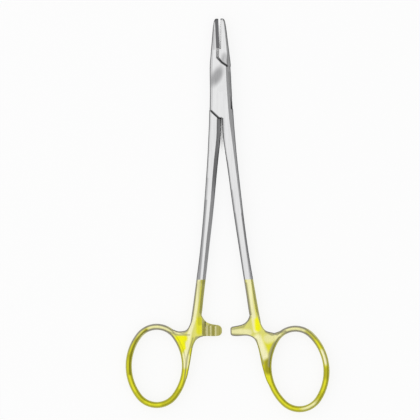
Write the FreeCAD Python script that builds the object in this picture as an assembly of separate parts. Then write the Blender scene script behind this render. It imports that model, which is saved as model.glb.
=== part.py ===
import FreeCAD, Part
import math
import os

# A needle holder lying flat: y runs from the pivot to the jaw tips, x to the right,
# z = 0 is the lower face of the box. Each half is drawn closed, about its own axis and
# with its mid plane at z = 0, then mirrored, opened and lifted into place.

# Sizes in millimetres and degrees
rest_opening = 1.7
opening_from_rest = 40.0
stop_margin = 0.3
box_thickness = 5.4
slip = 0.05
pin_radius = 1.25
pin_slip = 0.03
jaw_join_y = 12.3
shank_join_y = -11.2
half_gap = 0.08
far = 8.0

# Every section falls from its flat along a bevel, then along a narrow steep edge, to its side
bevel_slope = 37.0
edge_width = 0.30
edge_share = 0.5
side_share = 0.72

# Sections from the shank end of the box to the jaw: y, half width, half thickness,
# narrow bevel, wide bevel. The wide bevel is on the right of the closed instrument.
box_sections = [
    (shank_join_y, 4.52, 2.62, 0.80, 1.77),
    (-6.0, 4.32, 2.70, 1.00, 1.82),
    (0.0, 4.12, 2.70, 1.05, 1.82),
    (7.0, 3.97, 2.62, 1.05, 1.78),
    (jaw_join_y, 3.48, 2.25, 0.95, 1.05),
]
# Jaws: y, half width, half thickness, bevel
jaw_sections = [
    (16.0, 3.06, 1.92, 0.85),
    (20.0, 2.58, 1.62, 0.75),
    (23.5, 2.15, 1.37, 0.66),
    (25.2, 1.86, 1.24, 0.60),
]
tip_sections = [
    (26.00, 1.58, 1.07, 0.52),
    (26.45, 1.30, 0.82, 0.42),
    (26.70, 0.98, 0.48, 0.30),
]
jaw_reach = 0.7
tip_reaches = [jaw_reach, 0.50, 0.15, -0.30]

# Shanks: y, inner edge, outer edge, half thickness, then the bevels:
# narrow, outer of the female shank, inner of the male shank
shank_sections = [
    (shank_join_y, half_gap, 4.52, 2.62, 0.80, 1.77, 1.45),
    (-15.0, 0.13, 4.66, 2.50, 0.72, 1.55, 1.52),
    (-19.0, 0.25, 4.86, 2.40, 0.66, 1.35, 1.58),
    (-23.5, 0.70, 5.08, 2.27, 0.62, 1.15, 1.62),
    (-28.3, 1.26, 5.38, 2.15, 0.60, 1.00, 1.60),
    (-37.5, 2.18, 6.08, 1.95, 0.58, 0.86, 1.50),
    (-46.7, 3.10, 6.80, 1.80, 0.56, 0.80, 1.42),
    (-55.9, 4.17, 7.64, 1.70, 0.55, 0.76, 1.38),
    (-65.0, 5.26, 8.64, 1.62, 0.55, 0.76, 1.30),
    (-74.2, 6.36, 9.90, 1.58, 0.58, 0.90, 1.15),
    (-80.3, 7.10, 10.72, 1.55, 0.62, 1.00, 1.10),
    (-84.5, 7.55, 11.30, 1.52, 0.65, 1.00, 1.05),
    (-88.0, 8.10, 11.85, 1.45, 0.70, 0.95, 0.95),
    (-91.5, 8.90, 12.20, 1.25, 0.80, 0.80, 0.80),
]

# Shoulders where the thick parts of the male half meet the box walls
upper_shoulder = [(-0.95, 12.0), (-0.10, 10.70), (1.19, 9.51), (2.98, 8.53), (4.25, 8.12)]
lower_shoulder = [(-4.70, -7.85), (-3.96, -8.50), (-2.60, -9.95), (-1.45, -11.00)]
crotch = [(-0.68, -10.95), (0.00, -11.00)]
shoulder_gap = 0.06
shoulder_ease = 0.14
ease_depth = 0.35

# Slot and tenon
tenon_half = 0.90
root_radius = 9.10
lip_inner = 2.30
lip_end = 2.23
flank_x = 4.60
slot_open_y = -3.30
slot_corner = (-2.00, -8.70)
side_depth = 1.20
side_room = 0.30
flank_slip = 0.15
mouth_ends = [(-3.20, 4.225), (-7.90, 4.39)]
mouth_width = 0.58
mouth_height = 2.00
mouth_lip = 0.12

# Jaw faces and inserts
female_foot_y = 15.4
male_foot_y = 15.05
face_gap = 0.02
female_insert = 0.85
male_insert = 0.55
female_root_face = -1.04
male_root_face = 0.60
root_drop = 0.35
groove_pitch = 0.60
groove_depth = 0.13
groove_half = 0.16

# Hollow ground into the root of the male jaw
hollow_tip = (-1.27, 13.2, 2.17)
hollow_length = 5.0
hollow_radius = 4.6
hollow_rise = 2.0

# Ratchets
tooth_crests = [2.55, 4.40, 6.20]
crest_z = 0.22
valley_z = -0.38
steep = 0.16
ramp_end = 7.70

# Rings: ovals of four arcs
ring_band = 2.35
ring_thickness = 3.20
ring_end_radius = 8.60

female_grip = {
    "centre": (25.47, -108.0),
    "axes": (15.41, 11.02),
    "lean": 4.6,
    "valley": [(10.3, -83.0), (11.25, -86.8), (11.95, -89.6), (12.7, -91.5), (13.75, -92.85), (15.6, -93.6)],
    "inner": [
        (14.0, -113.2), (12.75, -109.6), (11.85, -105.6), (11.2, -101.6), (10.45, -98.2),
        (9.30, -95.9), (7.40, -94.78), (5.0, -94.60), (1.45, -94.52),
    ],
    "low_corner": (0.72, -94.24),
    "nose": [(0.42, -93.55), (0.42, -91.95)],
    "high_corner": (0.68, -91.28),
    "top": [(1.35, -90.98), (3.40, -90.65), (5.63, -90.0), (6.95, -88.9), (8.05, -86.4), (8.55, -84.0)],
}
male_grip = {
    "centre": (25.03, -105.73),
    "axes": (14.93, 10.73),
    "lean": 0.33,
    "valley": [(10.3, -82.5), (11.25, -86.4), (12.0, -89.1), (12.7, -90.8), (13.65, -92.05), (15.2, -92.55)],
    "inner": [
        (14.3, -111.8), (13.25, -109.2), (12.45, -105.2), (11.75, -101.2), (11.00, -97.8),
        (9.80, -95.8), (7.80, -94.70), (5.0, -94.45), (1.75, -94.42),
    ],
    "low_corner": (0.60, -93.95),
    "nose": [(0.10, -92.75), (0.10, -92.05)],
    "high_corner": (0.62, -90.80),
    "top": [(1.90, -90.25), (4.00, -89.90), (5.80, -89.2), (7.25, -87.6), (8.00, -86.0), (8.55, -83.5)],
}
plate_half = 1.45
edge_cut = 0.42
ring_joins = (30, 118)


def vector(point, z=0.0):
    return FreeCAD.Vector(point[0], point[1], z)


def plate(edges, half):
    face = Part.Face(Part.Wire(Part.__sortEdges__(edges)))
    face.translate(FreeCAD.Vector(0, 0, -half))
    return face.extrude(FreeCAD.Vector(0, 0, 2 * half))


def polygon_plate(points, half):
    corners = [vector(point) for point in points]
    return plate(Part.makePolygon(corners + corners[:1]).Edges, half)


def spline(points):
    curve = Part.BSplineCurve()
    curve.interpolate([vector(point) for point in points])
    return curve.toShape()


def line(start, end):
    return Part.makeLine(vector(start), vector(end))


def disc(radius, half):
    return Part.makeCylinder(radius, 2 * half, FreeCAD.Vector(0, 0, -half))


def side_points(edge, inward, thick, bevel):
    edge_part = min(edge_width, edge_share * bevel)
    shoulder = thick - (bevel - edge_part) * math.tan(math.radians(bevel_slope))
    return [
        (edge + inward * bevel, thick), (edge + inward * edge_part, shoulder),
        (edge, side_share * shoulder),
    ]


def section_wire(y, right_half):
    left_half = [(x, -z) for x, z in reversed(right_half)]
    corners = [FreeCAD.Vector(x, y, z) for x, z in right_half + left_half]
    return Part.makePolygon(corners + corners[:1])


def box_wire(section, swapped):
    y, wide, thick, narrow, broad = section
    left, right = (broad, narrow) if swapped else (narrow, broad)
    upper = list(reversed(side_points(-wide, 1, thick, left))) + side_points(wide, -1, thick, right)
    return section_wire(y, upper)


def jaw_wire(section, reach):
    y, wide, thick, bevel = section
    upper = list(reversed(side_points(-wide, 1, thick, bevel))) + [(reach, thick)]
    return section_wire(y, upper)


def shank_wire(section, swapped):
    y, inner, outer, thick, narrow, broad, deep = section
    near, away = (deep, narrow) if swapped else (narrow, broad)
    upper = list(reversed(side_points(inner, 1, thick, near))) + side_points(outer, -1, thick, away)
    return section_wire(y, upper)


def box_block(swapped):
    return Part.makeLoft([box_wire(section, swapped) for section in box_sections], True, False)


def jaw_blank(swapped):
    y, wide, thick, narrow, broad = box_sections[-1]
    root = (y, wide, thick, broad if swapped else narrow)
    long_wires = [jaw_wire(section, jaw_reach) for section in [root] + jaw_sections]
    tips = zip(jaw_sections[-1:] + tip_sections, tip_reaches)
    tip_wires = [jaw_wire(section, reach) for section, reach in tips]
    return Part.makeLoft(long_wires, True, False).fuse(Part.makeLoft(tip_wires, True, False))


def jaw_body(insert_thickness, foot_y, root_face, swapped):
    seat = -face_gap - insert_thickness
    outline = [
        (-far, jaw_join_y), (root_face, jaw_join_y), (root_face, foot_y),
        (seat, foot_y), (seat, 4 * far), (-far, 4 * far),
    ]
    return jaw_blank(swapped).common(polygon_plate(outline, far))


def groove(middle_y, turn):
    reach = far
    profile = Part.makePolygon([
        FreeCAD.Vector(-face_gap - groove_depth, 0, -reach),
        FreeCAD.Vector(groove_depth - face_gap, -2 * groove_half, -reach),
        FreeCAD.Vector(groove_depth - face_gap, 2 * groove_half, -reach),
        FreeCAD.Vector(-face_gap - groove_depth, 0, -reach),
    ])
    cutter = Part.Face(profile).extrude(FreeCAD.Vector(0, 0, 2 * reach))
    cutter.rotate(FreeCAD.Vector(0, 0, 0), FreeCAD.Vector(1, 0, 0), turn)
    cutter.translate(FreeCAD.Vector(0, middle_y, 0))
    return cutter


def insert(insert_thickness, foot_y, swapped):
    outline = [
        (-face_gap - insert_thickness, foot_y), (-face_gap, foot_y),
        (-face_gap, 4 * far), (-face_gap - insert_thickness, 4 * far),
    ]
    strip = jaw_blank(swapped).common(polygon_plate(outline, far))
    step = groove_pitch * math.sqrt(2.0)
    overrun = jaw_sections[-1][2]
    first = foot_y - overrun
    count = int((tip_sections[-1][0] + overrun - first) / step)
    middles = [first + step * index for index in range(count + 1)]
    for turn in (45, -45):
        strip = strip.cut([groove(middle, turn) for middle in middles])
    return strip


def shank(swapped):
    return Part.makeLoft([shank_wire(section, swapped) for section in shank_sections], True, False)


def ring_bend(centre, radius, start, sweep):
    """A stretch of the ring's tube, turned about the middle of one of the oval's four arcs."""
    origin = FreeCAD.Vector(0, 0, 0)
    upright = FreeCAD.Vector(0, 0, 1)
    section = Part.Ellipse(upright * (ring_thickness / 2), FreeCAD.Vector(ring_band / 2, 0, 0), origin)
    face = Part.Face(Part.Wire(section.toShape()))
    face.translate(FreeCAD.Vector(radius, 0, 0))
    face.rotate(origin, upright, start)
    bent = face.revolve(origin, upright, sweep)
    bent.translate(vector(centre))
    return bent


def ring(grip):
    long_axis, short_axis = grip["axes"]
    end = ring_end_radius
    side = ((long_axis - end) ** 2 + short_axis ** 2 - end ** 2) / (2 * (short_axis - end))
    turn = math.degrees(math.atan2(long_axis - end, side - short_axis))
    parts = []
    for sign, half_turn in ((1, 0), (-1, 180)):
        parts.append(ring_bend((sign * (short_axis - side), 0), side, half_turn - turn, 2 * turn))
        parts.append(ring_bend((0, sign * (long_axis - end)), end, half_turn + turn, 180 - 2 * turn))
    solid = parts[0].fuse(parts[1:]).removeSplitter()
    solid.rotate(FreeCAD.Vector(0, 0, 0), FreeCAD.Vector(0, 0, 1), grip["lean"])
    solid.translate(vector(grip["centre"]))
    return solid


def ring_point(grip, turn):
    long_axis, short_axis = grip["axes"]
    lean = math.radians(grip["lean"])
    x = -short_axis * math.sin(math.radians(turn))
    y = long_axis * math.cos(math.radians(turn))
    centre_x, centre_y = grip["centre"]
    return (
        centre_x + x * math.cos(lean) - y * math.sin(lean),
        centre_y + x * math.sin(lean) + y * math.cos(lean),
    )


def bend(start, middle, end):
    return Part.Arc(vector(start), vector(middle), vector(end)).toShape()


def grip_plate(grip, facing):
    first, final = ring_joins
    band = [ring_point(grip, first + (final - first) * step / 6.0) for step in range(7)]
    top, nose, inner = grip["top"], grip["nose"], grip["inner"]
    outer = [
        spline(grip["valley"] + band[:1]), spline(band[-1:] + inner),
        bend(inner[-1], grip["low_corner"], nose[0]), line(nose[0], nose[1]),
        bend(nose[1], grip["high_corner"], top[0]), spline(top),
    ]
    hidden = [spline(band), line(top[-1], grip["valley"][0])]
    solid = plate(outer + hidden, plate_half)
    rims = [edge for edge in solid.Edges if is_rim(edge, outer)]
    return solid.makeChamfer(edge_cut, rims).common(tooth_bar(facing))


def is_rim(edge, outline):
    box = edge.BoundBox
    if abs(box.ZMin - box.ZMax) > 1e-4:
        return False
    middle = edge.valueAt((edge.FirstParameter + edge.LastParameter) / 2)
    spot = Part.Vertex(middle.x, middle.y, 0)
    return min(spot.distToShape(part)[0] for part in outline) < 1e-3


def tooth_bar(facing):
    outline = [(-far, -plate_half), (-far, valley_z)]
    for crest in tooth_crests:
        outline += [(crest, crest_z), (crest + steep, valley_z)]
    outline += [(ramp_end, plate_half), (3 * far, plate_half), (3 * far, -plate_half)]
    points = [FreeCAD.Vector(x, 0, facing * z) for x, z in outline]
    face = Part.Face(Part.makePolygon(points + points[:1]))
    face.translate(FreeCAD.Vector(0, shank_sections[-1][0] - 5 * far, 0))
    return face.extrude(FreeCAD.Vector(0, 8 * far, 0))


def moved(points, x, y):
    return [(point[0] + x, point[1] + y) for point in points]


def eased_plate(edge, rest, shift):
    """A plate whose edge line is drawn back by shift at both faces of the box."""
    top = box_thickness / 2
    levels = [-far, -top, ease_depth - top, top - ease_depth, top, far]
    shares = [1, 1, 0, 0, 1, 1]
    wires = []
    for z, share in zip(levels, shares):
        points = [vector(point, z) for point in moved(edge, share * shift[0], share * shift[1]) + rest]
        wires.append(Part.makePolygon(points + points[:1]))
    return Part.makeLoft(wires, True, True)


def mouth(facing):
    wires = []
    for y, wide in mouth_ends:
        corners = [
            (wide - mouth_width, mouth_height), (wide - mouth_lip, tenon_half + slip),
            (wide + far, tenon_half + slip), (wide + far, mouth_height),
        ]
        points = [FreeCAD.Vector(x, y, facing * z) for x, z in corners]
        wires.append(Part.makePolygon(points + points[:1]))
    return Part.makeLoft(wires, True, True)


def female_box():
    block = box_block(False)
    ease = shoulder_ease * math.sqrt(0.5)
    root_top = (female_root_face, jaw_join_y + far)
    upper_rest = [
        (2 * far, upper_shoulder[-1][1]), (2 * far, shank_join_y - far), (-far, shank_join_y - far),
        (-far, root_top[1]), root_top, upper_shoulder[0],
    ]
    body = block.common(eased_plate(upper_shoulder[1:], upper_rest, (-ease, -ease)))
    heel_y = lower_shoulder[0][1] + shoulder_gap
    lower_rest = [
        (half_gap, crotch[-1][1]), (half_gap, shank_join_y - far), (2 * far, shank_join_y - far),
        (2 * far, 2 * far), (-far, 2 * far), (-far, heel_y),
    ]
    body = body.common(eased_plate(lower_shoulder + crotch, lower_rest, (ease, ease)))
    slot = polygon_plate([
        (-2 * far, lip_end), (-lip_inner, lip_end), (-lip_inner, 2 * far), (2 * far, 2 * far),
        (2 * far, -2 * far), (-2 * far, -2 * far),
    ], tenon_half + slip)
    opening = disc(root_radius, tenon_half + slip).common(slot)
    side = polygon_plate([
        (female_root_face, root_radius - side_depth), (far, root_radius - side_depth),
        (far, 2 * far), (female_root_face, 2 * far),
    ], tenon_half + slip)
    heel = polygon_plate([
        (-far, -far / 2), (half_gap, -far / 2), (half_gap, -2 * far), (-far, -2 * far),
    ], tenon_half + slip)
    body = body.cut([opening, side, heel, mouth(1), mouth(-1)])
    return body.cut(disc(pin_radius, far))


def stop_face():
    turn = math.radians(rest_opening + opening_from_rest + stop_margin)
    corner = (
        lip_inner * math.cos(turn) + lip_end * math.sin(turn),
        lip_end * math.cos(turn) - lip_inner * math.sin(turn),
    )
    reach = far - lip_inner
    outer = (corner[0] + reach * math.cos(turn), corner[1] - reach * math.sin(turn))
    return corner, outer


def tenon():
    corner, outer = stop_face()
    slab = box_block(True).common(disc(2 * far, tenon_half))
    side_y = root_radius - side_depth - side_room
    waist = polygon_plate([
        (-far, 2 * far), (male_root_face, 2 * far), (male_root_face, side_y),
        (far, side_y), (far, shank_join_y), (half_gap, shank_join_y),
        (half_gap, -far), slot_corner, (-flank_x, slot_open_y), (-far, slot_open_y),
    ], tenon_half)
    core = slab.common(waist)
    keep = disc(root_radius - 2 * slip, tenon_half)
    upper_end = polygon_plate([
        (male_root_face, 0), (far, 0), (far, 2 * far), (male_root_face, 2 * far),
    ], tenon_half)
    lower_end = polygon_plate([
        (half_gap, 0), (-far, 0), (-far, shank_join_y), (half_gap, shank_join_y),
    ], tenon_half)
    core = core.cut([upper_end.cut(keep), lower_end.cut(keep)])
    flank = lip_inner - flank_slip
    notch = polygon_plate([
        corner, outer, (2 * far, 0), (2 * far, 2 * far), (flank, 2 * far), (flank, flank), (0, 0),
    ], tenon_half)
    notch_radius = math.hypot(lip_inner, lip_end) - 2 * slip
    return core.cut(notch.cut(disc(notch_radius, tenon_half)))


def male_box():
    block = box_block(True)
    ease = shoulder_ease * math.sqrt(0.5)
    upper = [(-x - shoulder_gap / 2, y + shoulder_gap) for x, y in upper_shoulder]
    jaw_rest = [
        (-2 * far, upper[-1][1]), (-2 * far, jaw_join_y + far), (male_root_face, jaw_join_y + far),
        (male_root_face, upper[0][1] - root_drop),
    ]
    lower = [(-x + shoulder_gap / 2, y - shoulder_gap) for x, y in lower_shoulder]
    shank_rest = [(lower[-1][0], shank_join_y), (far, shank_join_y), (far, lower[0][1] + shoulder_gap)]
    jaw_root = block.common(eased_plate(upper[1:], jaw_rest, (-ease, ease)))
    shank_root = block.common(eased_plate(lower, shank_rest, (ease, -ease)))
    body = jaw_root.fuse([shank_root, tenon()])
    body = body.cut(hollow())
    return body.cut(disc(pin_radius + pin_slip, far))


def hollow():
    origin = FreeCAD.Vector(0, 0, 0)
    cone = Part.makeCone(0, hollow_radius, hollow_length, origin, FreeCAD.Vector(0, -1, 0))
    tilt = math.degrees(math.atan2(hollow_radius, hollow_length)) + hollow_rise
    cone.rotate(origin, FreeCAD.Vector(1, 0, 0), -tilt)
    cone.translate(FreeCAD.Vector(*hollow_tip))
    return cone


def half(box, jaw, grip, facing, swapped):
    body = box.fuse([jaw, shank(swapped), grip_plate(grip, facing), ring(grip)])
    return body.removeSplitter()


def opened(shape, turn):
    shape = shape.copy()
    shape.rotate(FreeCAD.Vector(0, 0, 0), FreeCAD.Vector(0, 0, 1), turn)
    shape.translate(FreeCAD.Vector(0, 0, box_thickness / 2))
    return shape


def mirrored(shape):
    return shape.mirror(FreeCAD.Vector(0, 0, 0), FreeCAD.Vector(1, 0, 0))


def save(name, shape):
    solid = shape.Solids[0]
    print(name, shape.isValid(), len(shape.Solids), round(solid.Volume, 2))
    solid.exportStep(os.path.join("parts", name + ".step"))


os.makedirs("parts", exist_ok=True)
female_jaw = jaw_body(female_insert, female_foot_y, female_root_face, False)
male_jaw = jaw_body(male_insert, male_foot_y, male_root_face, True)
female = half(female_box(), female_jaw, female_grip, -1, False)
male = half(male_box(), male_jaw, male_grip, 1, True)
female_strip = insert(female_insert, female_foot_y, False)
male_strip = insert(male_insert, male_foot_y, True)
pin = Part.makeCylinder(pin_radius, box_thickness, FreeCAD.Vector(0, 0, 0))
save("female_half", opened(female, rest_opening / 2))
save("male_half", opened(mirrored(male), -rest_opening / 2))
save("female_jaw_insert", opened(female_strip, rest_opening / 2))
save("male_jaw_insert", opened(mirrored(male_strip), -rest_opening / 2))
save("pivot_pin", pin)
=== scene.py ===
"""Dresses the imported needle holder: satin steel, gold plated handles, carbide inserts, pin and studio."""

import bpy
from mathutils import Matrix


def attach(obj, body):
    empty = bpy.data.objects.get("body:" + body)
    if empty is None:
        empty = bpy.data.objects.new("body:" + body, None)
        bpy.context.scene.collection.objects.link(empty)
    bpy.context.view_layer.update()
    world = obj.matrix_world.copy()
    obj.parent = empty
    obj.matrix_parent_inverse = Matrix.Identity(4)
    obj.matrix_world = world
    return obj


bl_info = {
    "name": "Needle holder finishes",
    "version": (1, 0, 0),
    "blender": (4, 5, 0),
    "location": "View3D > Sidebar > Needle holder",
    "description": "Gives the packed needle holder its metal finishes and a small photo studio",
    "category": "Object",
}

import math

import bmesh
import bpy
import numpy as np

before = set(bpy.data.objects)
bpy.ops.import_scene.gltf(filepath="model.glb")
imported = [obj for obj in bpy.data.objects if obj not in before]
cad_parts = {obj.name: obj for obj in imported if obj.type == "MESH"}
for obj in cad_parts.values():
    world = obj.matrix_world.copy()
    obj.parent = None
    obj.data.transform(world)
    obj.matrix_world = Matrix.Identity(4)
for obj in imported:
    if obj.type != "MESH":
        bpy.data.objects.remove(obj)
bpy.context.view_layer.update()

MM = 0.001


def mm(value):
    return value * MM


class SteelSettings(bpy.types.PropertyGroup):
    light: bpy.props.FloatVectorProperty(
        name="Ground faces", description="Colour of the flat ground faces",
        subtype="COLOR", size=3, min=0, max=1, default=(0.74, 0.74, 0.745))
    # Painted shade: the facets of the male shank that face +X are darkened, less so nearer the handles
    inner: bpy.props.FloatVectorProperty(
        name="Inner facets", description="Colour of the duller facets that face the other shank",
        subtype="COLOR", size=3, min=0, max=1, default=(0.38, 0.38, 0.385))
    lower_inner: bpy.props.FloatVectorProperty(
        name="Lower inner facets", description="Colour of the same facets nearer to the handles",
        subtype="COLOR", size=3, min=0, max=1, default=(0.68, 0.68, 0.685))
    # Painted shade: the steep edges and the upright walls are darkened
    edge: bpy.props.FloatVectorProperty(
        name="Edges", description="Colour of the narrow steep edges round every outline",
        subtype="COLOR", size=3, min=0, max=1, default=(0.13, 0.13, 0.132))
    wall: bpy.props.FloatVectorProperty(
        name="Walls", description="Colour of the upright walls",
        subtype="COLOR", size=3, min=0, max=1, default=(0.40, 0.40, 0.405))
    # Painted shade inside the box lock, along the joints round it, in the jaw gap and at the slot mouth
    crevice_shade: bpy.props.FloatVectorProperty(
        name="Crevices", description="Colour of the faces inside the box lock and of the seams round it",
        subtype="COLOR", size=3, min=0, max=1, default=(0.045, 0.045, 0.047))
    # Painted reflection on the box; the same grey also paints shade along the rims of the faces and in the
    # male's hollow
    reflection_and_shade_tone: bpy.props.FloatVectorProperty(
        name="Reflection and shade", description="Colour of the darker brushed patch on the box",
        subtype="COLOR", size=3, min=0, max=1, default=(0.27, 0.27, 0.275))
    roughness: bpy.props.FloatProperty(
        name="Roughness", description="Roughness of the satin finish",
        subtype="FACTOR", min=0, max=1, default=0.30)
    streak: bpy.props.FloatProperty(
        name="Brush line width", description="Width of one brush line",
        subtype="DISTANCE", unit="LENGTH", precision=6, default=mm(0.22))


class GoldSettings(bpy.types.PropertyGroup):
    deep: bpy.props.FloatVectorProperty(
        name="Deep gold", description="Colour of the polished plating on the rings",
        subtype="COLOR", size=3, min=0, max=1, default=(0.69, 0.67, 0.03))
    # Painted highlights: the bright and the pale gold
    bright: bpy.props.FloatVectorProperty(
        name="Bright gold", description="Colour of the plating where it shines on the webs",
        subtype="COLOR", size=3, min=0, max=1, default=(0.82, 0.80, 0.012))
    pale: bpy.props.FloatVectorProperty(
        name="Pale gold", description="Colour of the plating on flat ground faces",
        subtype="COLOR", size=3, min=0, max=1, default=(0.84, 0.81, 0.47))
    plain: bpy.props.FloatVectorProperty(
        name="Plain gold", description="Colour of the satin plating on the shanks",
        subtype="COLOR", size=3, min=0, max=1, default=(0.66, 0.64, 0.17))
    # Painted shade: the olive and the grey gold
    olive: bpy.props.FloatVectorProperty(
        name="Olive gold", description="Colour of the plating on the shaded stretches of the rings",
        subtype="COLOR", size=3, min=0, max=1, default=(0.30, 0.28, 0.02))
    grey: bpy.props.FloatVectorProperty(
        name="Grey gold", description="Colour of the plating in the hollows beside the webs",
        subtype="COLOR", size=3, min=0, max=1, default=(0.31, 0.30, 0.15))
    # Painted shade on the plating's steep edges, darker where they face left, and on its walls
    left_edge: bpy.props.FloatVectorProperty(
        name="Left edges", description="Colour of the steep edges that face left",
        subtype="COLOR", size=3, min=0, max=1, default=(0.29, 0.27, 0.21))
    right_edge: bpy.props.FloatVectorProperty(
        name="Right edges", description="Colour of the steep edges that face right",
        subtype="COLOR", size=3, min=0, max=1, default=(0.60, 0.58, 0.19))
    ring_edge: bpy.props.FloatVectorProperty(
        name="Ring edges", description="Colour of the steep edges round the rings",
        subtype="COLOR", size=3, min=0, max=1, default=(0.48, 0.46, 0.012))
    wall: bpy.props.FloatVectorProperty(
        name="Gold walls", description="Colour of the plating on upright walls",
        subtype="COLOR", size=3, min=0, max=1, default=(0.46, 0.43, 0.03))
    teeth: bpy.props.FloatVectorProperty(
        name="Gold teeth", description="Colour of the plating on the ratchet teeth",
        subtype="COLOR", size=3, min=0, max=1, default=(0.46, 0.43, 0.11))
    roughness: bpy.props.FloatProperty(
        name="Roughness", description="Roughness of the plating",
        subtype="FACTOR", min=0, max=1, default=0.26)
    female_start: bpy.props.FloatProperty(
        name="Female plating line",
        description="Where the plating of the female half begins, along the length",
        subtype="DISTANCE", unit="LENGTH", precision=5, default=mm(-73.05))
    male_start: bpy.props.FloatProperty(
        name="Male plating line", description="Where the plating of the male half begins, along the length",
        subtype="DISTANCE", unit="LENGTH", precision=5, default=mm(-72.8))


class StudioSettings(bpy.types.PropertyGroup):
    view_width: bpy.props.FloatProperty(
        name="View width", description="Width of the field of view",
        subtype="DISTANCE", unit="LENGTH", precision=5, default=mm(160.3))
    view_middle: bpy.props.FloatVectorProperty(
        name="View middle", description="Point of the table in the middle of the view",
        subtype="TRANSLATION", unit="LENGTH", size=2, precision=5, default=(mm(-5.07), mm(-46.28)))
    view_turn: bpy.props.FloatProperty(
        name="View turn", description="Turn of the camera about its own axis",
        subtype="ANGLE", unit="ROTATION", default=math.radians(-1.18))
    view_height: bpy.props.FloatProperty(
        name="View height", description="Height of the camera over the table",
        subtype="DISTANCE", unit="LENGTH", default=0.5)
    floor_colour: bpy.props.FloatVectorProperty(
        name="Floor", description="Colour of the table", subtype="COLOR", size=3, min=0, max=1,
        default=(0.96, 0.96, 0.96))
    floor_glow: bpy.props.FloatProperty(
        name="Floor glow", description="Share of the table's white that the shadows leave alone",
        subtype="FACTOR", min=0, max=1, default=0.835)
    lamp_power: bpy.props.FloatProperty(
        name="Lamp", description="Power of the soft box", subtype="POWER", unit="POWER", default=0.9)


def link(tree, start, end):
    tree.links.new(start, end)


def add(tree, kind, **values):
    """A new node. Named values are set on it, and those in inputs on its sockets."""
    node = tree.nodes.new(kind)
    for name, value in values.pop("inputs", {}).items():
        node.inputs[name].default_value = value
    for name, value in values.items():
        setattr(node, name, value)
    return node


def maths(tree, operation, first, second=None, third=None, clamp=False):
    """A Math node on two or three sockets or numbers. Returns its output."""
    node = add(tree, "ShaderNodeMath", operation=operation, use_clamp=clamp)
    for place, value in enumerate((first, second, third)):
        if isinstance(value, bpy.types.NodeSocket):
            link(tree, value, node.inputs[place])
        elif value is not None:
            node.inputs[place].default_value = value
    return node.outputs[0]


def ramp(tree, value, low, high):
    """0 where the value is at low, 1 where it is at high."""
    node = add(tree, "ShaderNodeMapRange", interpolation_type="SMOOTHSTEP")
    for place, item in (("Value", value), ("From Min", low), ("From Max", high)):
        if isinstance(item, bpy.types.NodeSocket):
            link(tree, item, node.inputs[place])
        else:
            node.inputs[place].default_value = item
    return node.outputs["Result"]


def mixed(tree, factor, first, second):
    """A colour mix of two sockets or colours. Returns its output."""
    node = add(tree, "ShaderNodeMix", data_type="RGBA")
    if isinstance(factor, bpy.types.NodeSocket):
        link(tree, factor, node.inputs[0])
    else:
        node.inputs[0].default_value = factor
    for place, value in ((6, first), (7, second)):
        if isinstance(value, bpy.types.NodeSocket):
            link(tree, value, node.inputs[place])
        else:
            node.inputs[place].default_value = (*value, 1.0)
    return node.outputs[2]


def split(tree, vector):
    node = add(tree, "ShaderNodeSeparateXYZ")
    link(tree, vector, node.inputs[0])
    return node.outputs


def noise(tree, vector, scale, detail, roughness):
    node = add(tree, "ShaderNodeTexNoise", inputs={"Scale": scale, "Detail": detail, "Roughness": roughness})
    link(tree, vector, node.inputs["Vector"])
    return node.outputs["Fac"]


def mapped(tree, vector, scale):
    node = add(tree, "ShaderNodeMapping", inputs={"Scale": scale})
    link(tree, vector, node.inputs["Vector"])
    return node.outputs["Vector"]


def group(name, inputs, outputs):
    """An empty shader node group with its named sockets, and the nodes at its two ends."""
    tree = bpy.data.node_groups.new(name, "ShaderNodeTree")
    for label, kind, default in inputs:
        socket = tree.interface.new_socket(label, in_out="INPUT", socket_type=kind)
        if default is not None:
            socket.default_value = default
    for label, kind in outputs:
        tree.interface.new_socket(label, in_out="OUTPUT", socket_type=kind)
    return tree, tree.nodes.new("NodeGroupInput"), tree.nodes.new("NodeGroupOutput")


def use(tree, name, **values):
    """Places a shader node group in a material, with its own values."""
    node = tree.nodes.new("ShaderNodeGroup")
    node.node_tree = bpy.data.node_groups[name]
    for label, value in values.items():
        node.inputs[label].default_value = value
    return node.outputs


# Shares of the surface normal at which a mask is 0 and at which it is 1
WALL_FACING = (0.22, 0.10)
RIGHT_FACING = (0.30, 0.50)
ACROSS_FACING = (0.25, 0.45)
# Size of the slow changes of tone across, along and in height
DRIFT_SIZES = (mm(1.1), mm(16), mm(3))


def make_faces_group():
    """Sorts a forging's surface by how it stands.

    Edge is 1 on the narrow steep edges, Wall on upright walls, Right on facets that face +X
    and Across on walls that face along the length, each 0 elsewhere.
    """
    names = ("Edge", "Wall", "Right", "Across")
    tree, start, end = group(
        "Faces", [("Flat", "NodeSocketFloat", 0.76), ("Steep", "NodeSocketFloat", 0.68)],
        [(name, "NodeSocketFloat") for name in names])
    normal = split(tree, add(tree, "ShaderNodeTexCoord").outputs["Normal"])
    upright = maths(tree, "ABSOLUTE", normal["Z"])
    wall = ramp(tree, upright, *WALL_FACING)
    steep = ramp(tree, upright, start.outputs["Flat"], start.outputs["Steep"])
    found = (
        maths(tree, "MULTIPLY", steep, maths(tree, "SUBTRACT", 1.0, wall)), wall,
        ramp(tree, normal["X"], *RIGHT_FACING),
        ramp(tree, maths(tree, "ABSOLUTE", normal["Y"]), *ACROSS_FACING))
    for name, value in zip(names, found):
        link(tree, value, end.inputs[name])


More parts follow.
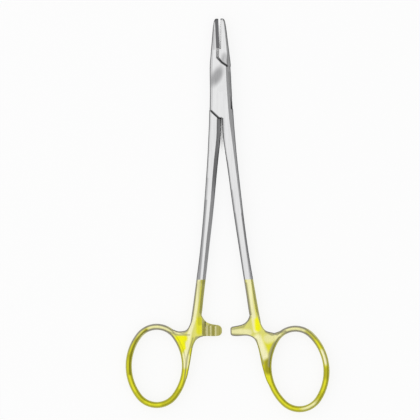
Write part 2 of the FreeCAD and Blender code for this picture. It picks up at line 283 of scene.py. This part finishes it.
def make_brush_group():
    """Long fine lines along the instrument, and a slow drift of tone across them."""
    tree, start, end = group(
        "Brushed", [("Width", "NodeSocketFloat", mm(0.2)), ("Length", "NodeSocketFloat", mm(7.0))],
        [("Lines", "NodeSocketFloat"), ("Drift", "NodeSocketFloat")])
    place = add(tree, "ShaderNodeTexCoord").outputs["Object"]
    across = maths(tree, "DIVIDE", 1.0, start.outputs["Width"])
    along = maths(tree, "DIVIDE", 1.0, start.outputs["Length"])
    scale = add(tree, "ShaderNodeCombineXYZ")
    link(tree, across, scale.inputs["X"])
    link(tree, along, scale.inputs["Y"])
    link(tree, across, scale.inputs["Z"])
    node = add(tree, "ShaderNodeMapping")
    link(tree, place, node.inputs["Vector"])
    link(tree, scale.outputs[0], node.inputs["Scale"])
    link(tree, noise(tree, node.outputs["Vector"], 1.0, 3.0, 0.6), end.inputs["Lines"])
    drift = mapped(tree, place, tuple(1 / size for size in DRIFT_SIZES))
    link(tree, noise(tree, drift, 1.0, 1.0, 0.5), end.inputs["Drift"])


def make_patch_group():
    """A soft oval patch: 1 in its middle and 0 outside its radius."""
    tree, start, end = group(
        "Patch", [("Place", "NodeSocketVector", None), ("Turn", "NodeSocketVector", None),
                  ("Stretch", "NodeSocketVector", None), ("Hard", "NodeSocketFloat", 0.2)],
        [("Patch", "NodeSocketFloat")])
    place = add(tree, "ShaderNodeTexCoord").outputs["Object"]
    shift = add(tree, "ShaderNodeVectorMath", operation="SUBTRACT")
    link(tree, place, shift.inputs[0])
    link(tree, start.outputs["Place"], shift.inputs[1])
    turned = add(tree, "ShaderNodeVectorRotate", rotation_type="EULER_XYZ")
    link(tree, shift.outputs[0], turned.inputs["Vector"])
    link(tree, start.outputs["Turn"], turned.inputs["Rotation"])
    sized = add(tree, "ShaderNodeVectorMath", operation="DIVIDE")
    link(tree, turned.outputs[0], sized.inputs[0])
    link(tree, start.outputs["Stretch"], sized.inputs[1])
    size = add(tree, "ShaderNodeVectorMath", operation="LENGTH")
    link(tree, sized.outputs[0], size.inputs[0])
    link(tree, ramp(tree, size.outputs["Value"], 1.0, start.outputs["Hard"]), end.inputs["Patch"])


def make_seam_group():
    """1 on the straight line from Start to End, seen from above, and 0 from Width away."""
    tree, start, end = group(
        "Seam", [("Start", "NodeSocketVector", None), ("End", "NodeSocketVector", None),
                 ("Width", "NodeSocketFloat", mm(0.3))],
        [("Seam", "NodeSocketFloat")])

    def vector(operation, first, second):
        node = add(tree, "ShaderNodeVectorMath", operation=operation)
        for place, value in enumerate((first, second)):
            if isinstance(value, tuple):
                node.inputs[place].default_value = value
            else:
                link(tree, value, node.inputs[place])
        return node

    flat = vector("MULTIPLY", add(tree, "ShaderNodeTexCoord").outputs["Object"], (1, 1, 0)).outputs[0]
    away = vector("SUBTRACT", flat, start.outputs["Start"]).outputs[0]
    way = vector("SUBTRACT", start.outputs["End"], start.outputs["Start"]).outputs[0]
    share = maths(tree, "DIVIDE", vector("DOT_PRODUCT", away, way).outputs["Value"],
                  vector("DOT_PRODUCT", way, way).outputs["Value"], clamp=True)
    foot = add(tree, "ShaderNodeVectorMath", operation="SCALE")
    link(tree, way, foot.inputs[0])
    link(tree, share, foot.inputs["Scale"])
    gap = vector("DISTANCE", away, foot.outputs[0]).outputs["Value"]
    link(tree, ramp(tree, gap, start.outputs["Width"], maths(tree, "MULTIPLY", start.outputs["Width"], 0.3)),
         end.inputs["Seam"])


def new_material(name):
    material = bpy.data.materials.new(name)
    material.use_nodes = True
    tree = material.node_tree
    return material, tree, tree.nodes["Principled BSDF"]


def bump(tree, height, distance, strength, shader):
    node = add(tree, "ShaderNodeBump", inputs={"Distance": distance, "Strength": strength})
    link(tree, height, node.inputs["Height"])
    link(tree, node.outputs["Normal"], shader.inputs["Normal"])


def times(tree, *factors):
    """The product of several masks."""
    result = factors[0]
    for factor in factors[1:]:
        result = maths(tree, "MULTIPLY", result, factor)
    return result


def inverse(tree, mask):
    return maths(tree, "SUBTRACT", 1.0, mask)


def patch(tree, x, y, z, half_sizes, turn, hard):
    """A soft oval patch at a place given in millimetres, turned by degrees. Returns its mask."""
    return use(tree, "Patch", Place=(mm(x), mm(y), mm(z)), Turn=(0, 0, math.radians(turn)),
               Stretch=tuple(mm(half) for half in half_sizes), Hard=hard)["Patch"]


def seams(tree, rows):
    """The strongest of several seams, each a row of points in millimetres, half width and strength."""
    total = None
    for points, width, strength in rows:
        for first, second in zip(points, points[1:]):
            mask = use(tree, "Seam", Start=(mm(first[0]), mm(first[1]), 0),
                       End=(mm(second[0]), mm(second[1]), 0), Width=mm(width))["Seam"]
            mask = maths(tree, "MULTIPLY", mask, strength)
            total = mask if total is None else maths(tree, "MAXIMUM", total, mask)
    return total


# Heights of the top faces and of the middle plane, in millimetres
TOP = 5.0
MIDDLE = 2.7

# Tones of the plating along lines on the surface: points in x and y, half width, strength
# Painted highlights in pale gold
PALE = {
    "female": [
        ([(9.0, -72.0), (9.8, -81.1), (11.4, -92.6)], 1.3, 0.95),
        ([(12.1, -95.7), (14.6, -102.5)], 2.4, 1.0), ([(2.6, -92.8), (8.7, -93.3)], 1.8, 0.7),
        ([(16.0, -95.9), (19.8, -94.9)], 2.6, 0.65), ([(23.0, -92.8), (29.0, -92.6)], 2.4, 0.65),
        ([(36.9, -102.0), (37.6, -104.6)], 2.6, 1.0), ([(32.2, -121.7), (31.0, -122.3)], 4.2, 0.75),
    ],
    "male": [
        ([(-9.7, -72.3), (-10.6, -80.7), (-12.1, -87.6)], 1.0, 0.95),
        ([(-12.1, -87.6), (-13.7, -92.5), (-15.6, -102.0)], 1.25, 1.0),
        ([(-15.6, -102.0), (-15.9, -105.0)], 2.4, 0.9),
        ([(-13.4, -91.0), (-17.0, -93.2), (-24.9, -90.4)], 1.0, 0.75),
        ([(-24.4, -91.0), (-28.0, -90.9)], 2.4, 0.65),
    ],
}
DEEP = {
    "female": [
        ([(11.9, -83.5), (12.6, -87.5)], 1.2, 0.5),
    ],
    "male": [
        ([(-10.1, -88.2), (-10.1, -92.6)], 1.9, 1.0), ([(-9.3, -76.0), (-9.6, -84.0)], 1.1, 0.5),
    ],
}
# Painted highlights in bright gold
BRIGHT = {
    "female": [
        ([(12.12, -88.82), (12.21, -91.88)], 1.8, 1.0),
    ],
    "male": [
        ([(-18.29, -95.07), (-15.81, -95.12)], 1.8, 1.0), ([(-16.78, -96.24), (-16.19, -98.74)], 1.3, 1.0),
    ],
}
# Painted shade in olive gold
OLIVE = {
    "female": [
        ([(16.1, -107.8), (16.1, -105.0)], 2.6, 0.95), ([(38.1, -108.8), (38.1, -110.0)], 2.8, 0.6),
        ([(31.8, -94.3), (33.0, -95.4)], 2.6, 0.45), ([(35.4, -118.3), (34.6, -119.4)], 2.6, 0.4),
    ],
    "male": [
        ([(-9.4, -74.0), (-9.9, -89.5)], 1.2, 0.4), ([(-8.6, -73.6), (-7.6, -73.7)], 1.5, 0.6),
        ([(-36.8, -108.0), (-36.6, -101.5), (-34.2, -95.6), (-30.4, -91.8)], 1.05, 0.95),
        ([(-18.5, -115.0), (-20.9, -118.0), (-24.5, -120.0)], 1.1, 0.45),
        ([(-34.4, -115.6), (-32.0, -118.4)], 1.0, 0.35),
    ],
}
# Painted shade in grey gold, in the creases beside the webs and rings
GREY = {
    "female": [
        ([(16.6, -106.0), (16.9, -101.6), (18.4, -98.2), (20.5, -96.0)], 1.25, 0.9),
        ([(2.4, -94.1), (8.1, -94.5), (11.4, -96.3), (13.8, -105.3)], 0.8, 0.8),
        ([(2.6, -91.9), (6.8, -91.1), (9.6, -87.5)], 0.6, 0.6), ([(8.1, -74.6), (9.7, -86.5)], 0.65, 0.7),
        ([(12.8, -85.4), (15.2, -93.1), (17.6, -94.4), (22.8, -93.1)], 0.6, 0.8),
    ],
    "male": [
        ([(-10.8, -74.6), (-12.6, -86.5), (-14.6, -92.1)], 0.6, 0.6),
        ([(-14.6, -92.1), (-16.4, -93.2), (-21.1, -91.4)], 0.5, 0.7),
        ([(-22.2, -92.3), (-18.2, -93.7), (-13.9, -93.8)], 0.45, 0.6),
        ([(-8.4, -94.6), (-11.4, -94.8), (-13.1, -98.6)], 0.6, 0.8),
        ([(-12.6, -95.0), (-14.9, -102.0), (-16.3, -111.9)], 0.42, 0.7),
        ([(-8.3, -89.4), (-8.3, -94.1)], 0.45, 0.5),
    ],
}
# Painted shade: soft grey lines along the rims of the steel faces
STEEL_SHADES = {
    "female": [
        ([(1.85, -27.53), (3.25, -39.01)], 0.55, 0.35), ([(3.25, -39.01), (4.22, -47.81)], 0.7, 0.65),
        ([(4.22, -47.81), (5.99, -61.97), (7.52, -74.98)], 0.8, 0.85),
        ([(7.08, -47.87), (8.62, -62.03), (10.03, -75.04)], 0.55, 0.5),
        ([(-2.32, 22.19), (-2.27, 15.32)], 0.8, 0.35), ([(3.38, 6.04), (3.85, -4.66)], 0.6, 0.35),
    ],
    "male": [
        ([(-5.09, -23.57), (-5.89, -34.24)], 0.45, 0.25), ([(-5.89, -34.24), (-6.63, -42.62)], 0.65, 0.5),
        ([(-6.63, -42.62), (-8.67, -61.67), (-10.12, -74.62)], 0.85, 0.85),
    ],
}
# Painted shade along the joint lines round the box lock, in the gap between the jaws and at the mouth of the
# side slot
STEEL_SEAMS = {
    "female": [
        ([(-1.0, 15.3), (-1.1, 11.8), (0.55, 9.95), (2.5, 8.6)], 0.62, 0.95),
        ([(-3.79, -8.51), (-0.9, -11.3)], 0.6, 0.9), ([(4.16, -3.5), (4.08, -7.6)], 0.66, 1.0),
        ([(-1.15, 15.6), (-1.4, 26.3)], 0.48, 0.9),
    ],
    "male": [
        ([(-0.7, 15.3), (-0.8, 11.9), (0.55, 10.1), (2.5, 8.75)], 0.5, 0.95),
        ([(-3.79, -8.51), (-0.9, -11.3)], 0.6, 0.9),
    ],
}
# Painted highlight along the rim of the crotch
GLINTS = [([(0.31, -11.46), (0.56, -17.96), (1.24, -23.7)], 0.8, 0.85)]
# Painted highlights on the ridges and painted shade in the grooves of the ratchet teeth
RIDGES = [
    ([(-7.0, -94.2), (-6.9, -90.4)], 1.1, 0.55), ([(-7.76, -94.2), (-7.7, -90.4)], 0.42, 0.9),
    ([(-5.83, -94.2), (-5.78, -90.6)], 0.40, 1.0), ([(-3.93, -94.2), (-3.9, -90.8)], 0.40, 1.0),
]
GROOVES = [
    ([(-6.5, -94.3), (-6.45, -90.5)], 0.4, 0.8), ([(-4.85, -94.3), (-4.8, -90.7)], 0.4, 0.8),
    ([(-2.4, -94.3), (-2.35, -91.0)], 0.3, 0.5),
]
# Patches: x, y, z and half sizes in millimetres, turn in degrees, hardness
# The first patch paints shade into the hollow at the root of the male jaw
HOLLOW = (1.6, 11.0, TOP, (1.9, 3.6, 2.0), 0, 0.4)
HOLLOW_STRENGTH = 0.5
# A painted reflection on the box
PAINTED_REFLECTION = (-1.4, 4.7, TOP, (2.9, 6.0, 1.5), 27, 0.35)
TEETH = (-4.6, -92.4, MIDDLE, (5.0, 3.2, 4.0), 0, 0.7)
# Stretches over which a tone grows, along the length
# Where the painted shade on the male's facets that face +X begins, and where it lightens further down
INNER_FACETS = (mm(-9.0), mm(-11.0))
LOWER_FACETS = (mm(-33.0), mm(-43.0))
RINGS = (mm(-93.0), mm(-98.0))
RING_EDGES = (mm(-94.0), mm(-102.0))
BOX_INSIDE = {"female": (mm(-14.0), mm(-11.5)), "male": (mm(-24.0), mm(-18.0))}
# How far the painted shade inside the box reaches from its middle
BOX_MIDDLE = (mm(1.2), mm(0.9))
PLATING_WOBBLE = mm(0.5)
PLATING_SOFTNESS = mm(0.12)
# Facing at which the plating is flat, and at which it is an edge
GOLD_FLAT = 0.90
GOLD_STEEP = 0.70
DULL_METAL = 0.3
# Factor and offset that turn brush lines or drift into a shade
REFLECTION_LINES = (0.7, 0.45)
LINE_SHADE = (0.18, 0.87)
DRIFT_SHADE = (0.20, 0.92)
LINE_ROUGHNESS = 0.16
# Depth and strength of the relief
BRUSH_RELIEF = (mm(0.01), 0.35)
GRAIN_RELIEF = (mm(0.02), 0.4)
GRAIN_SIZE = mm(0.12)
CARBIDE = ((0.085, 0.085, 0.09), (0.15, 0.15, 0.157))
CARBIDE_FACING = (0.80, 0.92)
# The male insert's light top is painted light; the female's stays dark like the carbide
CARBIDE_TOPS = {"female": (0.16, 0.16, 0.165), "male": (0.74, 0.74, 0.745)}


def steel_tones(tree, name, steel, place, faces, brush):
    """Ground steel: bright flats; inner facets, edges and crevices darkened as painted shade; a painted
    reflection on the box.
    """
    light = tuple(steel.light)
    if name == "male":
        # Painted shade on the facets that face +X, lighter below LOWER_FACETS
        inner = times(tree, faces["Right"], ramp(tree, place["Y"], *INNER_FACETS))
        lower = ramp(tree, place["Y"], *LOWER_FACETS)
        facet = mixed(tree, lower, tuple(steel.inner), tuple(steel.lower_inner))
        tone = mixed(tree, inner, light, facet)
        # Painted shade in the hollow at the root of the male jaw
        hollow = maths(tree, "MULTIPLY", patch(tree, *HOLLOW), HOLLOW_STRENGTH)
        tone = mixed(tree, hollow, tone, tuple(steel.reflection_and_shade_tone))
    else:
        # Painted reflection on the box, broken up by the brush lines
        painted_reflection = patch(tree, *PAINTED_REFLECTION)
        broken = times(tree, painted_reflection, maths(tree, "MULTIPLY_ADD", brush["Lines"], *REFLECTION_LINES))
        tone = mixed(tree, broken, light, tuple(steel.reflection_and_shade_tone))
    # Painted shade along the rims of the steel faces
    tone = mixed(tree, seams(tree, STEEL_SHADES[name]), tone, tuple(steel.reflection_and_shade_tone))
    # Painted shade on the steep edges and upright walls
    tone = mixed(tree, faces["Edge"], tone, tuple(steel.edge))
    tone = mixed(tree, faces["Wall"], tone, tuple(steel.wall))
    # Painted shade on the standing faces inside the box lock and along the dark lines
    middle = ramp(tree, maths(tree, "ABSOLUTE", place["X"]), *BOX_MIDDLE)
    inside = maths(tree, "MAXIMUM", middle, faces["Across"])
    standing = maths(tree, "MAXIMUM", faces["Edge"], faces["Wall"])
    inside = times(tree, standing, inside, ramp(tree, place["Y"], *BOX_INSIDE[name]))
    inside = maths(tree, "MAXIMUM", inside, seams(tree, STEEL_SEAMS[name]))
    tone = mixed(tree, inside, tone, tuple(steel.crevice_shade))
    # Painted highlight on the rim of the crotch
    if name == "female":
        tone = mixed(tree, seams(tree, GLINTS), tone, light)
    return tone


def gold_tones(tree, name, gold, place, faces, teeth):
    """Plating: cream and bright lines of painted highlight on the shanks and webs, deep yellow rings, olive
    painted shade at the edges.
    """
    rings = ramp(tree, place["Y"], *RINGS)
    tone = mixed(tree, rings, tuple(gold.plain), tuple(gold.deep))
    # PALE and BRIGHT lines are painted highlights, OLIVE and GREY lines painted shade
    tables = (
        (DEEP, gold.deep), (PALE, gold.pale), (BRIGHT, gold.bright), (OLIVE, gold.olive), (GREY, gold.grey))
    for lines, colour in tables:
        tone = mixed(tree, seams(tree, lines[name]), tone, tuple(colour))
    edge = faces["Edge"]
    if name == "male":
        edge = times(tree, edge, inverse(tree, teeth))
        tone = mixed(tree, teeth, tone, tuple(gold.teeth))
        # Painted highlights on the teeth's ridges and painted shade in their grooves
        tone = mixed(tree, times(tree, teeth, seams(tree, RIDGES)), tone, tuple(gold.pale))
        tone = mixed(tree, times(tree, teeth, seams(tree, GROOVES)), tone, tuple(gold.olive))
    # Painted shade on the edges, darker on those facing left, and on the walls
    edges = mixed(tree, faces["Right"], tuple(gold.left_edge), tuple(gold.right_edge))
    edges = mixed(tree, ramp(tree, place["Y"], *RING_EDGES), edges, tuple(gold.ring_edge))
    tone = mixed(tree, edge, tone, edges)
    return mixed(tree, faces["Wall"], tone, tuple(gold.wall))


def make_forging_material(name, plating_line, steel, gold):
    """Satin steel, gold plated below the plating line, with edges darkened as painted shade and brush lines.
    """
    material, tree, shader = new_material(name + " forging")
    place = split(tree, add(tree, "ShaderNodeTexCoord").outputs["Object"])
    faces = use(tree, "Faces")
    brush = use(tree, "Brushed", Width=steel.streak)
    wobble = maths(tree, "MULTIPLY", maths(tree, "SUBTRACT", brush["Lines"], 0.5), PLATING_WOBBLE)
    height = maths(tree, "ADD", place["Y"], wobble)
    plated = ramp(tree, height, plating_line + PLATING_SOFTNESS, plating_line - PLATING_SOFTNESS)
    steel_tone = steel_tones(tree, name, steel, place, faces, brush)
    gold_faces = use(tree, "Faces", Flat=GOLD_FLAT, Steep=GOLD_STEEP)
    dull = times(tree, gold_faces["Edge"], plated)
    teeth = 0.0
    if name == "male":
        teeth = times(tree, patch(tree, *TEETH), inverse(tree, gold_faces["Across"]))
        dull = maths(tree, "MAXIMUM", dull, teeth)
    link(tree, maths(tree, "MULTIPLY_ADD", dull, DULL_METAL - 1.0, 1.0), shader.inputs["Metallic"])
    tone = mixed(tree, plated, steel_tone, gold_tones(tree, name, gold, place, gold_faces, teeth))
    shade = maths(tree, "MULTIPLY_ADD", brush["Lines"], *LINE_SHADE)
    shade = maths(tree, "MULTIPLY", shade, maths(tree, "MULTIPLY_ADD", brush["Drift"], *DRIFT_SHADE))
    final = add(tree, "ShaderNodeVectorMath", operation="SCALE")
    link(tree, tone, final.inputs[0])
    link(tree, shade, final.inputs["Scale"])
    link(tree, final.outputs[0], shader.inputs["Base Color"])
    rough = maths(tree, "MULTIPLY_ADD", brush["Lines"], LINE_ROUGHNESS, steel.roughness - LINE_ROUGHNESS / 2)
    rough = maths(tree, "MULTIPLY_ADD", plated, gold.roughness - steel.roughness, rough)
    link(tree, rough, shader.inputs["Roughness"])
    bump(tree, brush["Lines"], *BRUSH_RELIEF, shader)
    return material


def make_carbide_material(name, top):
    """Dull grey carbide with a fine grain. The faces ground with the jaw take the tone given as top: painted
    light on the male insert, dark on the female one.
    """
    material, tree, shader = new_material(name)
    place = add(tree, "ShaderNodeTexCoord").outputs["Object"]
    grain = noise(tree, place, 1 / GRAIN_SIZE, 4.0, 0.7)
    upright = maths(tree, "ABSOLUTE", split(tree, add(tree, "ShaderNodeTexCoord").outputs["Normal"])["Z"])
    shade = mixed(tree, grain, *CARBIDE)
    shade = mixed(tree, ramp(tree, upright, *CARBIDE_FACING), shade, top)
    link(tree, shade, shader.inputs["Base Color"])
    link(tree, maths(tree, "MULTIPLY_ADD", grain, 0.2, 0.38), shader.inputs["Roughness"])
    shader.inputs["Metallic"].default_value = 0.85
    bump(tree, grain, *GRAIN_RELIEF, shader)
    return material


def make_pin_material(steel):
    """The pin's ends, ground with the box."""
    material, tree, shader = new_material("pin steel")
    brush = use(tree, "Brushed", Width=steel.streak)
    tone = mixed(tree, brush["Lines"], tuple(0.9 * c for c in steel.light), tuple(steel.light))
    link(tree, tone, shader.inputs["Base Color"])
    rough = maths(tree, "MULTIPLY_ADD", brush["Lines"], LINE_ROUGHNESS, steel.roughness - LINE_ROUGHNESS / 2)
    link(tree, rough, shader.inputs["Roughness"])
    shader.inputs["Metallic"].default_value = 1.0
    bump(tree, brush["Lines"], *BRUSH_RELIEF, shader)
    return material


# Outer and inner lines of the corners that round the webs into the rings, in millimetres
CORNERS = {
    "right": ("female",
              [(14.98, -92.78), (16.98, -93.89), (18.97, -93.58), (20.89, -92.94), (23.00, -92.52)],
              [(14.75, -94.22), (16.65, -95.02), (18.55, -95.25), (20.47, -94.57), (22.60, -93.39)]),
    "left": ("male",
             [(-15.75, -92.52), (-17.47, -92.51), (-19.18, -91.96), (-20.88, -91.27), (-22.59, -90.86)],
             [(-15.78, -93.97), (-17.70, -94.32), (-19.41, -93.90), (-20.91, -92.80), (-22.42, -91.89)]),
}
CORNER_HALF = 1.44
CORNER_TAPER = 0.50
CORNER_CUT = 0.42


def curve_through(points, steps):
    """x and y as polynomials in t through the given points, which stand at even steps of t from 0 to 1."""
    points = np.array(points)
    knots = np.linspace(0, 1, len(points))
    t = np.linspace(0, 1, steps)
    return np.stack([np.polyval(np.polyfit(knots, axis, len(points) - 1), t) for axis in points.T], axis=1)


def corner_mesh(name, outer_points, inner_points, steps=33):
    """A plate between two curves whose outer rim is chamfered.

    At t the section is, from the inner line to the outer one, (inner, h), (outer - cut, h), (outer, h - cut)
    and the same below, with h = CORNER_HALF - CORNER_TAPER * t^2 about the middle of the forging.
    """
    outer, inner = curve_through(outer_points, steps), curve_through(inner_points, steps)
    back = inner - outer
    rim = outer + CORNER_CUT * back / np.linalg.norm(back, axis=1, keepdims=True)
    half = CORNER_HALF - CORNER_TAPER * np.linspace(0, 1, steps) ** 2
    lines = [(inner, half), (rim, half), (outer, half - CORNER_CUT),
             (outer, CORNER_CUT - half), (rim, -half), (inner, -half)]
    grid = np.stack([np.column_stack([line, MIDDLE + height]) for line, height in lines])
    count = len(lines)
    first, second = np.arange(count), (np.arange(count) + 1) % count
    column = np.arange(steps - 1)
    start, end = first[:, None] * steps + column, second[:, None] * steps + column
    quads = np.stack([start, end, end + 1, start + 1], axis=-1).reshape(-1, 4).tolist()
    caps = [(first * steps)[::-1].tolist(), (first * steps + steps - 1).tolist()]
    mesh = bpy.data.meshes.new(name)
    mesh.from_pydata((grid.reshape(-1, 3) * MM).tolist(), [], quads + caps)
    shape = bmesh.new()
    shape.from_mesh(mesh)
    bmesh.ops.recalc_face_normals(shape, faces=shape.faces)
    shape.to_mesh(mesh)
    shape.free()
    return mesh


def assign(node, material):
    """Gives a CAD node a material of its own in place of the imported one."""
    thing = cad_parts[node]
    thing.data.materials.clear()
    thing.data.materials.append(material)


class NEEDLEHOLDER_OT_effects(bpy.types.Operator):
    """Builds the shader node groups that the finishes share"""
    bl_idname = "needleholder.effects"
    bl_label = "Shared effects"

    def execute(self, context):
        make_faces_group()
        make_brush_group()
        make_patch_group()
        make_seam_group()
        return {"FINISHED"}


class NEEDLEHOLDER_OT_halves(bpy.types.Operator):
    """Finishes the two forged halves in satin steel and gold plating"""
    bl_idname = "needleholder.halves"
    bl_label = "Forged halves"

    def execute(self, context):
        steel = context.scene.needle_steel
        gold = context.scene.needle_gold
        assign("female_half", make_forging_material("female", gold.female_start, steel, gold))
        assign("male_half", make_forging_material("male", gold.male_start, steel, gold))
        return {"FINISHED"}


class NEEDLEHOLDER_OT_corners(bpy.types.Operator):
    """Rounds the corners where the webs run into the rings"""
    bl_idname = "needleholder.corners"
    bl_label = "Web corners"

    def execute(self, context):
        for side, (half, outer, inner) in CORNERS.items():
            name = side + "_web_corner"
            corner = bpy.data.objects.new(name, corner_mesh(name, outer, inner))
            context.scene.collection.objects.link(corner)
            corner.data.materials.append(bpy.data.materials[half + " forging"])
            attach(corner, half)
        return {"FINISHED"}


class NEEDLEHOLDER_OT_inserts(bpy.types.Operator):
    """Finishes the two carbide jaw inserts"""
    bl_idname = "needleholder.inserts"
    bl_label = "Jaw inserts"

    def execute(self, context):
        assign("female_jaw_insert", make_carbide_material("female carbide", CARBIDE_TOPS["female"]))
        assign("male_jaw_insert", make_carbide_material("male carbide", CARBIDE_TOPS["male"]))
        return {"FINISHED"}


class NEEDLEHOLDER_OT_pin(bpy.types.Operator):
    """Finishes the pin of the box lock"""
    bl_idname = "needleholder.pin"
    bl_label = "Box lock pin"

    def execute(self, context):
        assign("pivot_pin", make_pin_material(context.scene.needle_steel))
        return {"FINISHED"}


FLOOR_HALF = 3.0
FLOOR_HEIGHT = -mm(0.05)
# The glow fades in gaps: how far the table looks for walls, and the openness at which it is off and full
GAP_REACH = mm(3.0)
GAP_SHADE = (0.10, 0.34)
# The dome's strength overhead, how much it loses low on the left and, beyond that, on the right
OVERHEAD = 0.98
LEFT_DROP = 0.30
RIGHT_DROP = 0.32
SKY_SIDE = (-0.15, 0.55)
SKY_LOW = (0.90, 0.35)
LAMP_SIZE = 1.2
LAMP_PLACE = (-0.42, 0.12, 0.5)
LAMP_TURN = (math.radians(-9), math.radians(-40), 0)


class NEEDLEHOLDER_OT_studio(bpy.types.Operator):
    """Sets up the pale table, the soft light and the camera straight above"""
    bl_idname = "needleholder.studio"
    bl_label = "Studio"

    def execute(self, context):
        studio = context.scene.needle_studio
        self.make_floor(studio)
        self.make_sky(context.scene)
        self.make_lamp(studio)
        self.make_camera(context.scene, studio)
        context.scene.view_settings.view_transform = "Standard"
        return {"FINISHED"}

    def make_floor(self, studio):
        mesh = bpy.data.meshes.new("table")
        signs = np.array([(-1, -1), (1, -1), (1, 1), (-1, 1)])
        corners = np.column_stack([signs * FLOOR_HALF, np.full(len(signs), FLOOR_HEIGHT)])
        mesh.from_pydata(corners.tolist(), [], [(0, 1, 2, 3)])
        floor = bpy.data.objects.new("table", mesh)
        bpy.context.scene.collection.objects.link(floor)
        material, tree, shader = new_material("table")
        shader.inputs["Roughness"].default_value = 0.9
        shader.inputs["Specular IOR Level"].default_value = 0.1
        path = add(tree, "ShaderNodeLightPath").outputs
        seen = maths(tree, "ADD", path["Is Camera Ray"], path["Is Glossy Ray"])
        seen = maths(tree, "ADD", seen, path["Is Transmission Ray"], clamp=True)
        nearby = add(tree, "ShaderNodeAmbientOcclusion", samples=8, inputs={"Distance": GAP_REACH})
        clear = ramp(tree, nearby.outputs["AO"], *GAP_SHADE)
        share = maths(tree, "MULTIPLY", seen, studio.floor_glow)
        full = tuple(studio.floor_colour)
        dimmed = tuple(channel * (1 - studio.floor_glow) for channel in full)
        link(tree, mixed(tree, seen, full, dimmed), shader.inputs["Base Color"])
        shader.inputs["Emission Color"].default_value = (1, 1, 1, 1)
        link(tree, maths(tree, "MULTIPLY", share, clear), shader.inputs["Emission Strength"])
        mesh.materials.append(material)

    def make_sky(self, scene):
        """A soft dome: white overhead, greyer low on the left and darkest low on the right."""
        world = bpy.data.worlds.new("studio dome")
        world.use_nodes = True
        scene.world = world
        tree = world.node_tree
        way = split(tree, add(tree, "ShaderNodeTexCoord").outputs["Generated"])
        side = ramp(tree, way["X"], *SKY_SIDE)
        low = ramp(tree, way["Z"], *SKY_LOW)
        drop = maths(tree, "MULTIPLY_ADD", side, RIGHT_DROP, LEFT_DROP)
        light = maths(tree, "SUBTRACT", OVERHEAD, maths(tree, "MULTIPLY", drop, low))
        link(tree, light, tree.nodes["Background"].inputs["Strength"])
        tree.nodes["Background"].inputs["Color"].default_value = (1, 1, 1, 1)

    def make_lamp(self, studio):
        data = bpy.data.lights.new("soft box", "AREA")
        data.shape = "RECTANGLE"
        data.size = LAMP_SIZE
        data.size_y = LAMP_SIZE
        data.energy = studio.lamp_power
        lamp = bpy.data.objects.new("soft box", data)
        bpy.context.scene.collection.objects.link(lamp)
        lamp.location = LAMP_PLACE
        lamp.rotation_euler = LAMP_TURN

    def make_camera(self, scene, studio):
        data = bpy.data.cameras.new("camera")
        data.type = "ORTHO"
        data.ortho_scale = studio.view_width
        camera = bpy.data.objects.new("camera", data)
        scene.collection.objects.link(camera)
        camera.location = (studio.view_middle[0], studio.view_middle[1], studio.view_height)
        camera.rotation_euler = (0, 0, studio.view_turn)
        scene.camera = camera


class NEEDLEHOLDER_PT_looks(bpy.types.Panel):
    """Lists what the finishes and the studio are made with"""
    bl_idname = "NEEDLEHOLDER_PT_looks"
    bl_label = "Needle holder"
    bl_space_type = "VIEW_3D"
    bl_region_type = "UI"
    bl_category = "Needle holder"

    def draw(self, context):
        for operator in OPERATORS:
            self.layout.operator(operator.bl_idname)
        for name, settings in SETTINGS.items():
            column = self.layout.column()
            for item in settings.__annotations__:
                column.prop(getattr(context.scene, name), item)


OPERATORS = (
    NEEDLEHOLDER_OT_effects,
    NEEDLEHOLDER_OT_halves,
    NEEDLEHOLDER_OT_corners,
    NEEDLEHOLDER_OT_inserts,
    NEEDLEHOLDER_OT_pin,
    NEEDLEHOLDER_OT_studio,
)
SETTINGS = {
    "needle_steel": SteelSettings,
    "needle_gold": GoldSettings,
    "needle_studio": StudioSettings,
}


def register():
    for settings in SETTINGS.values():
        bpy.utils.register_class(settings)
    for name, settings in SETTINGS.items():
        setattr(bpy.types.Scene, name, bpy.props.PointerProperty(type=settings))
    for item in (*OPERATORS, NEEDLEHOLDER_PT_looks):
        bpy.utils.register_class(item)


def unregister():
    for item in (NEEDLEHOLDER_PT_looks, *reversed(OPERATORS)):
        bpy.utils.unregister_class(item)
    for name, settings in SETTINGS.items():
        delattr(bpy.types.Scene, name)
        bpy.utils.unregister_class(settings)


def main():
    register()
    bpy.ops.needleholder.effects()
    bpy.ops.needleholder.halves()
    bpy.ops.needleholder.corners()
    bpy.ops.needleholder.inserts()
    bpy.ops.needleholder.pin()
    bpy.ops.needleholder.studio()


if __name__ == "__main__":
    main()
